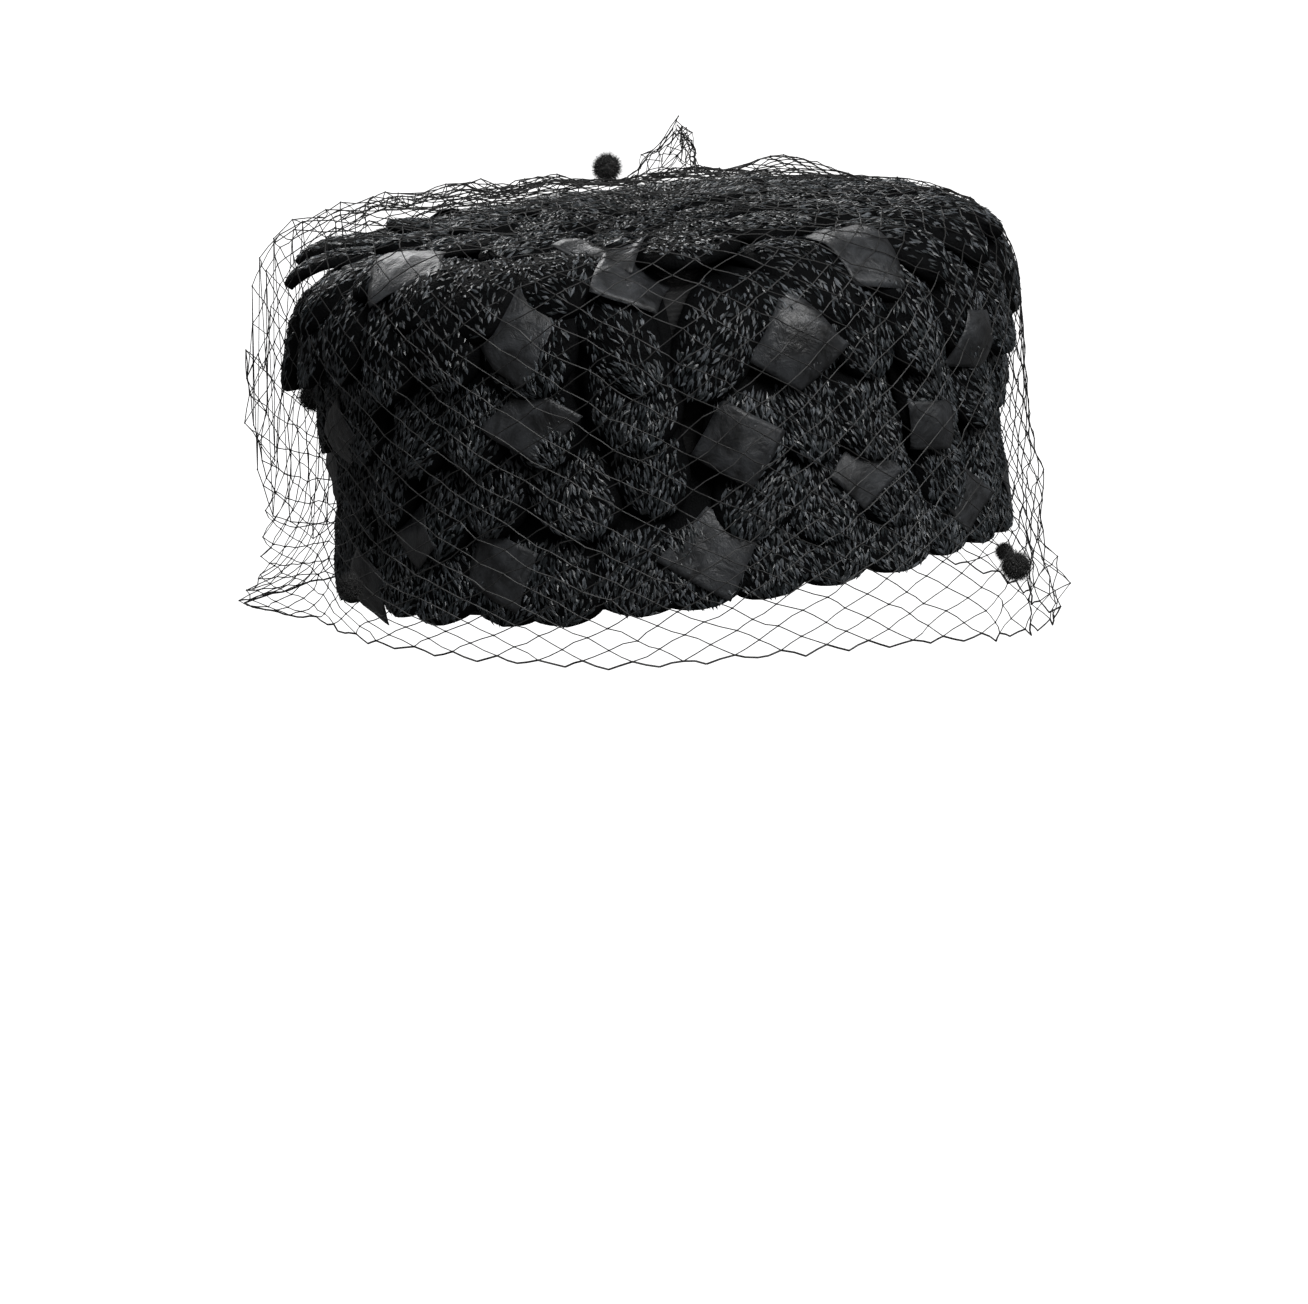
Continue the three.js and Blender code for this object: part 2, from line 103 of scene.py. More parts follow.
class Finish:
    # A material whose nodes come from one method.
    def __init__(self, name, constants):
        self.material = bpy.data.materials.new(name)
        self.material.use_nodes = True
        self.tree = self.material.node_tree
        self.shader = self.tree.nodes["Principled BSDF"]
        for socketName, value in constants.items():
            self.shader.inputs[socketName].default_value = value
        self.place = self.node("ShaderNodeNewGeometry", {}, {}, "Position")

    def node(self, kind, settings, sockets, output=0):
        made = self.tree.nodes.new(kind)
        for key, value in settings.items():
            if key == "stops":
                self.setStops(made.color_ramp, value)
            else:
                setattr(made, key, value)
        for key, value in sockets.items():
            if isinstance(value, Value):
                self.tree.links.new(value.socket, made.inputs[key])
            else:
                made.inputs[key].default_value = value
        return Value(self, made.outputs[output])

    def setStops(self, ramp, stops):
        while len(ramp.elements) < len(stops):
            ramp.elements.new(0.5)
        for element, (position, shade) in zip(ramp.elements, stops):
            element.position = position
            element.color = shade

    def noise(self, scale, detail=3.0, roughness=0.55, distortion=0.0):
        sockets = {
            "Vector": self.place,
            "Scale": scale,
            "Detail": detail,
            "Roughness": roughness,
            "Distortion": distortion,
        }
        return self.node("ShaderNodeTexNoise", {}, sockets, "Fac")

    def ramp(self, factor, stops):
        return self.node("ShaderNodeValToRGB", {"stops": stops}, {"Fac": factor}, "Color")

    def mix(self, factor, first, second):
        settings = {"data_type": "RGBA", "blend_type": "MIX"}
        return self.node("ShaderNodeMix", settings, {0: factor, 6: first, 7: second}, 2)

    def bump(self, height, strength, distance):
        sockets = {"Height": height, "Strength": strength, "Distance": distance}
        self.feed("Normal", self.node("ShaderNodeBump", {}, sockets, "Normal"))

    def feed(self, socketName, value):
        self.tree.links.new(value.socket, self.shader.inputs[socketName])


def grey(level, blue=0.0):
    return (level, level * (1 + 0.4 * blue), level * (1 + blue), 1.0)


# The knit behind the flecks: near black, with fine crossing ribs. Where the flecks are left out, at the
# petals' sides, ends and upper parts, this black is painted shade in the gaps between petals.
knit = {"ribScale": 900.0, "dark": 0.0008, "light": 0.005, "bumpDepth": 0.35 * mm}


def makeKnit():
    finish = Finish("knittedStraw", {"Specular IOR Level": 0.02})
    cells = finish.node(
        "ShaderNodeTexVoronoi",
        {"feature": "DISTANCE_TO_EDGE"},
        {"Vector": finish.place, "Scale": knit["ribScale"]},
        "Distance",
    )
    patch = finish.noise(260.0, 4.0)
    shade = finish.mix(patch, grey(knit["dark"], 0.1), grey(knit["light"], 0.15))
    finish.feed("Base Color", shade)
    finish.feed("Roughness", 0.45 + patch * 0.35)
    finish.bump(cells + patch * 0.4, 0.8, knit["bumpDepth"])
    return finish.material


# Glossy straw flecks, each a shade of its own.
fleck = {"dark": 0.003, "middle": 0.018, "light": 0.085}


def makeFleck():
    finish = Finish("strawFleck", {"Specular IOR Level": 0.5})
    island = finish.node("ShaderNodeNewGeometry", {}, {}, "Random Per Island")
    stops = [
        (0.0, grey(fleck["dark"], 0.1)),
        (0.55, grey(fleck["middle"], 0.18)),
        (1.0, grey(fleck["light"], 0.22)),
    ]
    shade = finish.ramp(island, stops)
    tint = finish.noise(60.0, 2.0)
    finish.feed("Base Color", finish.mix(tint * 0.5, shade, (0.012, 0.022, 0.026, 1.0)))
    finish.feed("Roughness", 0.3 + island * 0.25)
    finish.bump(finish.noise(2600.0, 2.0), 0.3, 0.05 * mm)
    return finish.material


# Shiny black film, with fine creases. A few squares have painted glints: white specks in patches, standing
# in for highlights on the crinkles.
filmLook = {"dark": 0.007, "light": 0.034, "paintedGlint": 0.35}


def makeFilm(name, scuffed):
    finish = Finish(name, {"Specular IOR Level": 0.32, "Coat Weight": 0.06, "Coat Roughness": 0.2})
    cloud = finish.noise(110.0, 4.0, 0.65, 0.8)
    patchy = finish.ramp(cloud, [(0.36, grey(0.0)), (0.62, grey(1.0))])
    shade = finish.mix(patchy, grey(filmLook["dark"], 0.12), grey(filmLook["light"], 0.16))
    # Painted highlight: white specks mixed into the colour as glints on the crinkles.
    if scuffed:
        specks = finish.ramp(finish.noise(900.0, 5.0, 0.7, 0.6), [(0.62, grey(0.0)), (0.68, grey(1.0))])
        patch = finish.ramp(finish.noise(120.0, 1.0), [(0.58, grey(0.0)), (0.64, grey(1.0))])
        shade = finish.mix(specks * patch, shade, grey(filmLook["paintedGlint"], 0.05))
    finish.feed("Base Color", shade)
    streaks = finish.noise(240.0, 4.0, 0.65, 1.6)
    finish.feed("Roughness", 0.16 + streaks * 0.5)
    finish.bump(streaks + cloud * 1.5, 0.5, 0.8 * mm)
    return finish.material


# Twisted net thread.
threadLook = {"dark": 0.006, "light": 0.022}


def makeThread():
    finish = Finish("netThread", {"Specular IOR Level": 0.4, "Roughness": 0.5})
    twist = finish.noise(1500.0, 2.0)
    finish.feed("Base Color", finish.mix(twist, grey(threadLook["dark"]), grey(threadLook["light"])))
    finish.bump(twist, 0.4, 0.1 * mm)
    return finish.material


def makeChenille():
    finish = Finish("chenillePile", {"Specular IOR Level": 0.2, "Sheen Weight": 0.3})
    tuft = finish.noise(900.0, 3.0)
    finish.feed("Base Color", finish.mix(tuft, grey(0.002), grey(0.014)))
    finish.feed("Roughness", 0.8 + tuft * 0.2)
    finish.bump(tuft, 0.8, 0.4 * mm)
    return finish.material


def makeBuckram():
    finish = Finish("buckram", {"Specular IOR Level": 0.3, "Sheen Weight": 0.1})
    settings = {"wave_type": "BANDS", "bands_direction": "Z"}
    weft = finish.node("ShaderNodeTexWave", settings, {"Vector": finish.place, "Scale": 260.0}, "Fac")
    sockets = {"Vector": finish.place, "Scale": 700.0}
    cells = finish.node("ShaderNodeTexVoronoi", {"distance": "MANHATTAN"}, sockets, "Distance")
    wear = finish.noise(35.0, 4.0)
    finish.feed("Base Color", finish.mix(wear, grey(0.004, 0.05), grey(0.014, 0.05)))
    finish.feed("Roughness", 0.75 + cells * 0.3)
    finish.bump(weft * 0.6 + cells, 0.7, 0.3 * mm)
    return finish.material


knitMaterial = makeKnit()
fleckMaterial = makeFleck()
filmMaterial = makeFilm("shinyFilm", False)
paintedGlintMaterial = makeFilm("paintedGlintFilm", True)
threadMaterial = makeThread()
chenilleMaterial = makeChenille()
buckramMaterial = makeBuckram()
print("materials made")


# The crown's outside as a path from the top to the rim: a dome, a shoulder and a straight
# side, with the same sizes as the frame's crown.

crown = {
    "rimRadius": 85.5 * mm,
    "sideRadius": 92 * mm,
    "sideHeight": 72 * mm,
    "domeRadius": 75 * mm,
    "domeHeight": 89 * mm,
    "height": 97 * mm,
    "wall": 2 * mm,
    "frontRise": 6 * mm,
}


def curve(first, control, last, steps=80):
    share = np.linspace(0, 1, steps)[:, None]
    return (1 - share) ** 2 * first + 2 * share * (1 - share) * control + share**2 * last


def crownOutline():
    top = np.array([0.0, crown["height"]])
    edge = np.array([crown["domeRadius"], crown["domeHeight"]])
    domeControl = np.array([crown["domeRadius"] * 0.55, crown["height"]])
    side = np.array([crown["sideRadius"], crown["sideHeight"]])
    rim = np.array([crown["rimRadius"], 0.0])
    lean = (crown["sideRadius"] - crown["rimRadius"]) / crown["sideHeight"]
    along = edge - domeControl
    reach = side[0] + lean * (edge[1] - side[1]) - edge[0]
    control = edge + along * reach / (along[0] - lean * along[1])
    line = np.vstack([curve(top, domeControl, edge), curve(edge, control, side)[1:]])
    return np.vstack([line, np.linspace(side, rim, 60)[1:]])


outline = crownOutline()
steps = np.hypot(*np.diff(outline, axis=0).T)
outlineAt = np.concatenate([[0], np.cumsum(steps)])
pathLength = outlineAt[-1]
tangents = np.gradient(outline, outlineAt, axis=0)
tangents /= np.hypot(*tangents.T)[:, None]


def contour(azimuth, height):
    front = ((1 + np.cos(np.radians(azimuth))) / 2) ** 2
    return crown["frontRise"] * front * np.maximum(0, 1 - height / crown["sideHeight"])


# Points of the cover, at a distance from the top along the path and standing off the crown.
def coverPoints(azimuth, distance, standOff):
    inside = np.clip(distance, 0, pathLength)
    radius = np.interp(inside, outlineAt, outline[:, 0])
    height = np.interp(inside, outlineAt, outline[:, 1])
    outX = np.interp(inside, outlineAt, tangents[:, 0])
    outY = np.interp(inside, outlineAt, tangents[:, 1])
    past = distance - inside
    radius = radius + outX * past
    height = height + outY * past
    wide = radius - outY * standOff
    tall = height + outX * standOff + contour(azimuth, height)
    angle = np.radians(azimuth)
    return np.stack([wide * np.sin(angle), -wide * np.cos(angle), tall], -1)


def hill(value, centre, width):
    return np.exp(-(((value - centre) / width) ** 2))


def turnsApart(azimuth, centre):
    return (azimuth - centre + 180) % 360 - 180


def radiusAt(distance):
    return np.interp(distance, outlineAt, outline[:, 0])


def distanceAt(azimuth, height):
    lifted = outline[:, 1] + contour(azimuth, outline[:, 1])
    return float(np.interp(-height, -lifted, outlineAt))


def gridFaces(rows, columns, start=0, closed=False, flip=False):
    row = np.arange(rows - 1)[:, None]
    column = np.arange(columns if closed else columns - 1)[None, :]
    after = (column + 1) % columns
    here, below = row * columns, (row + 1) * columns
    quads = np.stack([here + column, below + column, below + after, here + after], -1).reshape(-1, 4)
    return start + (quads[:, ::-1] if flip else quads)


# A closed thin body from an outer grid of points and an inner one.
def plateMesh(outer, inner, start=0):
    rows, columns = outer.shape[:2]
    under = rows * columns
    border = np.concatenate(
        [
            np.arange(rows - 1) * columns,
            (rows - 1) * columns + np.arange(columns - 1),
            np.arange(rows - 1, 0, -1) * columns + columns - 1,
            np.arange(columns - 1, 0, -1),
        ]
    )
    after = np.roll(border, -1)
    rim = np.stack([border, under + border, under + after, after], -1)
    faces = np.vstack([gridFaces(rows, columns), gridFaces(rows, columns, under, flip=True), rim])
    return np.vstack([outer.reshape(-1, 3), inner.reshape(-1, 3)]), start + faces


# Crown shell

crownShell = {"around": 120, "down": 46, "edgeRound": 0.5 * mm}


def makeCrownShell():
    around, down = crownShell["around"], crownShell["down"]
    azimuth = np.arange(around) * 360 / around
    stops = np.linspace(0.004, 1, down) * pathLength
    outer = coverPoints(azimuth[None, :], stops[:, None], np.zeros((down, around)))
    inner = coverPoints(azimuth[None, :], stops[:, None], np.full((down, around), -crown["wall"]))
    edge = np.full(around, pathLength + crownShell["edgeRound"])
    bend = coverPoints(azimuth, edge, np.full(around, -crown["wall"] / 2))
    rings = np.vstack([outer, bend[None], inner[::-1]])
    tops = [coverPoints(0, 0, 0)[None], coverPoints(0, 0, -crown["wall"])[None]]
    points = np.vstack([rings.reshape(-1, 3), *tops])
    faces = gridFaces(len(rings), around, closed=True)
    first = np.arange(around)
    after = (first + 1) % around
    last = (len(rings) - 1) * around
    topCap = np.stack([np.full(around, len(points) - 2), first, after], -1)
    innerCap = np.stack([np.full(around, len(points) - 1), last + after, last + first], -1)
    shell = newPiece("crown_shell", points, [faces, topCap, innerCap], [buckramMaterial])
    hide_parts("crown")


makeCrownShell()
print("crown shell made")


# Petals. Each is a puffed tongue of knit with a rounded, curled end, in the layers of the
# frame's rows. The near ones stand where they do on the real hat, and the rest are even.

petal = {
    "length": 38 * mm,
    "width": 30 * mm,
    "thickness": 0.8 * mm,
    "seat": 0.9 * mm,
    "slope": 0.15,
    "pillow": 4.4 * mm,
    "flare": 1.2 * mm,
    "fill": 1.0,
    "across": 17,
    "down": 24,
    "around": 20,
    "round": 0.36,
    # The share of each petal, from its top, left without flecks: painted shade where the gaps between
    # petals show it.
    "bare": 0.45,
    "topOpening": 2.5 * mm,
}
fleckSize = {
    "length": 1.7 * mm,
    "width": 0.42 * mm,
    "thickness": 0.2 * mm,
    "pitchAcross": 1.2 * mm,
    "pitchDown": 2.0 * mm,
}

# Over both sides the low petals are pressed flat. Over the right rear the shoulder's stand out.
petalRows = {
    "petal_row_1": {"tip": 1.0, "share": 1, "first": 2, "pressed": 0.2, "fill": 1.3, "round": 0.2},
    "petal_row_2": {"tip": 0.88, "share": 1, "first": 10, "pressed": 1},
    "petal_row_3": {"tip": 0.765, "share": 1, "first": 1, "pressed": 0.8},
    "petal_row_4": {"tip": 0.65, "share": 1, "first": 9, "pressed": 0.1, "wing": 2.8 * mm, "bare": 0.36},
    "petal_row_5": {"tip": 0.535, "share": 1, "first": 1, "wing": 3.5 * mm, "bare": 0.16},
    "petal_row_6": {
        "tip": 0.43,
        "share": 0.86,
        "first": 8,
        "puff": 0.8,
        "bare": 0.16,
        "press": 2.2 * mm,
        "wing": 3 * mm,
    },
    "petal_ring_1": {"tip": 0.32, "share": 0.64, "first": 4, "puff": 0.7, "bare": 0.16, "press": 2.2 * mm},
    "petal_ring_2": {"tip": 0.2, "share": 0.36, "first": 20, "puff": 0.6, "bare": 0.16, "press": 2.2 * mm},
}

# Azimuths of the two sides, and how far round each of them reaches.
sides = {"rear": 228, "rearReach": 30, "left": 45, "leftReach": 24}

# Petals of the shoulder that stick out over the right rear.
proudPetals = {
    "petal_row_5": {"azimuth": 227, "near": 9, "longer": -2 * mm, "lift": 2.5 * mm},
    "petal_row_6": {"azimuth": 225, "near": 9, "longer": -3 * mm, "lift": 3.5 * mm},
}

# Azimuth and height of the tip, lean of the petal towards higher azimuths, width.
nearStart, nearEnd = 242, 32
nearPetals = {
    "petal_row_1": [
        (249, 6, 6, 28), (262, 3, -6, 27), (274, 2, 8, 26), (285, 0, -10, 26), (296.5, -1, 4, 24),
        (308, 1, -6, 25), (320, 3, 10, 25), (331.5, 3, 14, 34), (342, 4.5, 4, 28), (354, 6, 4, 26),
        (6, 4, -4, 27), (17, 3, -6, 26), (28, 2, 0, 26),
    ],
    "petal_row_2": [
        (251, 26, 4, 28), (264, 27, 8, 26), (275, 20, -6, 26), (284, 26, -14, 30), (302, 25, 4, 27),
        (313.5, 29, 6, 27), (326, 21, -18, 31), (341, 18, 14, 27), (354, 18, 10, 25), (6, 18, 0, 25),
        (18, 17, -4, 27), (30, 20, 4, 27),
    ],
    "petal_row_3": [
        (248, 46, -4, 29), (260, 44, 4, 27), (272, 42, -6, 26), (285, 44, 6, 25), (298, 45, 14, 29),
        (311.5, 48, 4, 42), (327, 38, -12, 30), (339, 39, 4, 25), (350, 37, 6, 25), (3, 38, 10, 25),
        (16, 38, 4, 26), (28, 40, 0, 27),
    ],
    "petal_row_4": [
        (246, 64, 4, 29), (258, 66, 12, 27), (270, 62, 10, 28), (283, 66, 18, 29), (298, 64, 24, 29),
        (314, 63, 30, 30), (319, 60, -30, 38), (338, 62, 6, 26), (350, 59, 10, 25), (1, 57, 14, 25),
        (13, 58, 10, 25), (25, 56, 6, 26),
    ],
    "petal_row_5": [
        (248, 76, 2, 32), (262, 82, 14, 28), (276, 78, 22, 29), (290, 77, 28, 30), (303.5, 80, 28, 30),
        (324, 85, 8, 30), (345, 74, 14, 27), (355, 76, 12, 25), (6, 77, 8, 27), (20, 78, 4, 28),
    ],
}


def isNear(azimuth):
    return (azimuth - nearStart) % 360 < (nearEnd - nearStart) % 360


def petalsOfRow(name):
    row = petalRows[name]
    count = round(petal["around"] * row["share"])
    found = []
    for place in range(count):
        azimuth = (row["first"] + place * 360 / count) % 360
        if name in nearPetals and isNear(azimuth):
            continue
        phase = 2 * math.pi * place / count
        found.append(
            {
                "azimuth": azimuth + 2 * math.sin(5 * phase + 3 * row["tip"]),
                "tip": row["tip"] * pathLength + 1.6 * mm * math.sin(7 * phase + 9 * row["tip"]),
                "lean": 9 * math.sin(3 * phase + 4 * row["tip"]),
                "width": petal["width"] * (1 + 0.08 * math.sin(11 * phase)),
            }
        )
    for azimuth, height, lean, width in nearPetals.get(name, []):
        tip = distanceAt(azimuth, max(height, 0.5) * mm) - min(0, height - 0.5) * mm
        found.append({"azimuth": azimuth, "tip": tip, "lean": lean, "width": width * mm})
    found.sort(key=lambda one: one["azimuth"] % 360)
    for index, one in enumerate(found):
        before, after = found[index - 1]["azimuth"], found[(index + 1) % len(found)]["azimuth"]
        room = math.radians((after - before) % 360) / 2 * (radiusAt(one["tip"] - 8 * mm) + 6 * mm)
        one["width"] = min(one["width"], petal["fill"] * room) * row.get("fill", 1)
    return found


# The underside and the puffed outside of one petal, at places across it (-1 to 1) and down
# it (0 to 1).
def petalSurface(one, across, down):
    length = one["length"]
    shoulder = 0.84 + 0.16 * np.sin(np.pi / 2 * np.clip(down / 0.5, 0, 1))
    rounded = np.clip(1 + (down - 1) / one["round"], 0, 1)
    rounded = np.sqrt(np.maximum(0.003, 1 - rounded**2.4))
    halfWidth = one["width"] / 2 * shoulder * rounded
    aside = across * halfWidth
    lean = math.radians(one["lean"])
    back = (1 - down) * length
    arc = -back * math.sin(lean) + aside * math.cos(lean) + one["bend"] * np.sin(np.pi * down)
    distance = one["tip"] - back * math.cos(lean) - aside * math.sin(lean)
    distance = np.maximum(distance, petal["topOpening"])
    azimuth = one["azimuth"] + np.degrees(arc / np.maximum(radiusAt(distance), 14 * mm))
    under = one["slope"] * np.maximum(0, distance - (one["tip"] - petal["length"])) + petal["seat"]
    under = under + one["flare"] * np.clip((down - 0.45) / 0.55, 0, 1) ** 2 + one["tilt"] * across * down
    rise = np.clip((down - 0.15) / 0.4, 0, 1)
    end = np.sqrt(np.maximum(0, 1 - np.clip((down - 0.76) / 0.24, 0, 1) ** 2.2))
    pillow = (1 - np.abs(across) ** 2.6) ** 0.6 * rise * rise * (3 - 2 * rise) * (0.25 + 0.75 * end)
    wave = one["ripple"] * np.sin(6 * down + 3.5 * across + one["phase"]) * (1 - across**2)
    return azimuth, distance, under, under + petal["thickness"] + one["pillow"] * pillow + wave


def petalPoints(one, across, down):
    azimuth, distance, _, outside = petalSurface(one, across, down)
    return coverPoints(azimuth, distance, outside)


# Azimuth, distance and height of the petals' outsides, and the tip each belongs to.
coverSamples = []


def petalGrid(one):
    across = np.sin(np.linspace(-1, 1, petal["across"]) * np.pi / 2)[None, :]
    down = np.sin(np.linspace(0, 1, petal["down"]) * np.pi / 2)[:, None]
    across, down = np.broadcast_arrays(across, down)
    azimuth, distance, under, outside = petalSurface(one, across, down)
    tips = np.full(azimuth.size, one["tip"])
    coverSamples.append(np.stack([azimuth.ravel(), distance.ravel(), outside.ravel(), tips], 1))
    outer = coverPoints(azimuth, distance, outside)
    inner = coverPoints(azimuth, distance, np.maximum(under, 0.3 * mm))
    return plateMesh(outer, inner)


# Leaf-shaped flecks in staggered rows, lying along the petal. Its sides, its end and its upper part stay
# bare, so that the near-black knit shows there as painted shade in the gaps between petals.
def petalFlecks(one, random):
    rows = int(one["length"] / fleckSize["pitchDown"])
    columns = int(one["width"] / fleckSize["pitchAcross"])
    across, down = np.meshgrid(np.linspace(-0.93, 0.93, columns), np.linspace(one["bare"], 0.985, rows))
    across = across + (np.arange(rows)[:, None] % 2 - 0.5) * 0.93 / columns
    across = (across + random.normal(0, 0.5 / columns, across.shape)).ravel()
    down = (down + random.normal(0, 0.35 / rows, down.shape)).ravel()
    # Painted shade: no flecks near the sides or at the end, where the black knit stands in for the shade
    # between petals.
    border = 0.84 - 0.3 * np.clip((down - 0.8) / 0.2, 0, 1) ** 2
    keep = (np.abs(across) < border) & (down < 0.975) & (random.uniform(size=len(across)) < 0.93)
    across, down = across[keep], down[keep]
    count = len(across)
    here = petalPoints(one, across, down)
    nudge = 0.02
    along = petalPoints(one, across, down + nudge) - petalPoints(one, across, down - nudge)
    aside = petalPoints(one, across + nudge, down) - petalPoints(one, across - nudge, down)
    along /= np.linalg.norm(along, axis=1)[:, None] + 1e-12
    normal = np.cross(along, aside)
    normal /= np.linalg.norm(normal, axis=1)[:, None] + 1e-12
    normal *= np.sign((normal * here).sum(1))[:, None]
    aside = np.cross(normal, along)
    turn = one["comb"] + 0.3 * np.sin(across * 4 + down * 8 + one["phase"]) + random.normal(0, 0.24, count)
    pitch = random.normal(0.12, 0.2, count)
    forward = along * np.cos(turn)[:, None] + aside * np.sin(turn)[:, None]
    sideways = np.cross(normal, forward)
    forward = forward * np.cos(pitch)[:, None] + normal * np.sin(pitch)[:, None]
    roll = random.normal(0, 0.45, count)
    sideways = sideways * np.cos(roll)[:, None] + normal * np.sin(roll)[:, None]
    upward = np.cross(forward, sideways)
    size = random.uniform(0.65, 1.3, count)[:, None]
    # Painted shade: flecks shrink towards the petal's sides, so that the sides read darker.
    size = size * (1 - 0.35 * across**2)[:, None]
    forward = forward * fleckSize["length"] * size
    sideways = sideways * fleckSize["width"] * random.uniform(0.7, 1.35, count)[:, None]
    upward = upward * fleckSize["thickness"]
    centre = here + normal * 0.1 * mm
    corners = [forward, sideways, -forward, -sideways, upward, -upward]
    points = np.stack([centre + corner for corner in corners], 1).reshape(-1, 3)
    lozenge = [(0, 1, 4), (1, 2, 4), (2, 3, 4), (3, 0, 4), (1, 0, 5), (2, 1, 5), (3, 2, 5), (0, 3, 5)]
    faces = (np.arange(count)[:, None, None] * 6 + np.array(lozenge)[None]).reshape(-1, 3)
    return points, faces


def makePetalRow(name, seed):
    random = np.random.default_rng(seed)
    row = petalRows[name]
    proud = proudPetals.get(name)
    points, quads, triangles = [], [], []
    total = 0
    for one in petalsOfRow(name):
        one["length"] = min(petal["length"] + 4 * mm, one["tip"] - petal["topOpening"])
        one["bend"] = random.normal(0, 1.2) * mm
        one["ripple"] = random.uniform(0.1, 0.5) * mm
        one["phase"] = random.uniform(0, 6.28)
        one["tilt"] = random.normal(0.5, 0.5) * mm
        one["comb"] = random.normal(0, 0.12)
        one["round"] = row.get("round", petal["round"])
        one["bare"] = row.get("bare", petal["bare"])
        rear = hill(turnsApart(one["azimuth"], sides["rear"]), 0, sides["rearReach"])
        left = hill(turnsApart(one["azimuth"], sides["left"]), 0, sides["leftReach"])
        flat = 0.5 * (rear + left) * row.get("pressed", 0)
        one["slope"] = petal["slope"] * (1 - flat)
        one["flare"] = petal["flare"] + random.normal(0, 0.9) * mm - row.get("press", 0)
        one["flare"] += row.get("wing", 0) * rear
        if proud and abs(turnsApart(one["azimuth"], proud["azimuth"])) < proud["near"]:
            one["flare"] += proud["lift"]
            one["tip"] += proud["longer"]
        one["pillow"] = petal["pillow"] * random.uniform(0.8, 1.15) * (1 - flat) * row.get("puff", 1)
        body, faces = petalGrid(one)
        points.append(body)
        quads.append(faces + total)
        total += len(body)
        specks, speckFaces = petalFlecks(one, random)
        points.append(specks)
        triangles.append(speckFaces + total)
        total += len(specks)
    quads = np.vstack(quads)
    triangles = np.vstack(triangles)
    kinds = np.concatenate([np.zeros(len(quads)), np.ones(len(triangles))])
    looks = [knitMaterial, fleckMaterial]
    faces = [quads, triangles]
    piece = newPiece(name + "_knit", np.vstack(points), faces, looks, faceMaterials=kinds)
    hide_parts(name)
    return 2 * len(quads) + len(triangles)


for index, name in enumerate(petalRows):
    print("petals", name, makePetalRow(name, 11 + index), "triangles")


# Film squares: thin plates on the petals, creased and a little curled.

square = {
    "side": 19 * mm,
    "thickness": 0.3 * mm,
    "steps": 15,
    "lift": 0.4 * mm,
    "showing": 0.8,
    "scale": 0.88,
    "bend": 0.6,
    "fold": 0.9 * mm,
    "highest": 12.8 * mm,
}

nearSquares = [
    {"azimuth": 267, "down": 0.475, "size": 1, "turn": 44, "scuffed": True},
    {"azimuth": 294, "down": 0.55, "size": 1, "turn": 40, "scuffed": True},
    {"azimuth": 295, "down": 0.675, "size": 1, "turn": 36},
    {"azimuth": 307, "down": 0.42, "size": 1.1, "turn": 18},
    {"azimuth": 312, "down": 0.49, "size": 1, "turn": 12, "scuffed": True},
    {"azimuth": 336, "down": 0.6, "size": 1.05, "turn": 40},
    {"azimuth": 352, "down": 0.5, "size": 1.05, "turn": 8},
    {"azimuth": 326, "down": 0.74, "size": 1.05, "turn": 37},
    {"azimuth": 321, "down": 0.91, "size": 1.1, "turn": 40},
    {"azimuth": 286, "down": 0.91, "size": 1, "turn": 30},
    {"azimuth": 347, "down": 0.82, "size": 0.9, "turn": 52},
    {"azimuth": 11, "down": 0.91, "size": 0.9, "turn": 45},
    {"azimuth": 1, "down": 0.765, "size": 0.85, "turn": 8},
    {"azimuth": 13, "down": 0.64, "size": 1, "turn": 10},
    {"azimuth": 253, "down": 0.7, "size": 0.9, "turn": 42},
    {"azimuth": 253, "down": 0.945, "size": 0.95, "turn": 35},
    {"azimuth": 270, "down": 0.86, "size": 0.8, "turn": 48},
]
farSquares = 11


def farSquare(index):
    downs = [0.9, 0.64, 0.77, 0.5]
    return {
        "azimuth": 34 + index * 200 / (farSquares - 1),
        "down": downs[index % len(downs)],
        "size": 1,
        "turn": 45 + 12 * math.sin(2.3 * index),
    }


# Heights of the petals under a square, without those whose tips end above its middle.
def coverUnder(azimuth, distance, centre):
    samples = np.concatenate(coverSamples)
    near = np.abs(turnsApart(samples[:, 0], centre[0])) < 16
    near &= (np.abs(samples[:, 1] - centre[1]) < 20 * mm) & (samples[:, 3] > centre[1] + 3 * mm)
    samples = samples[near]
    radius = radiusAt(centre[1])
    arc = np.radians(turnsApart(samples[None, :, 0], azimuth[:, None])) * radius
    apart = np.hypot(arc, samples[None, :, 1] - distance[:, None])
    heights = np.where(apart < 2.2 * mm, samples[None, :, 2], 0)
    return heights.max(1)


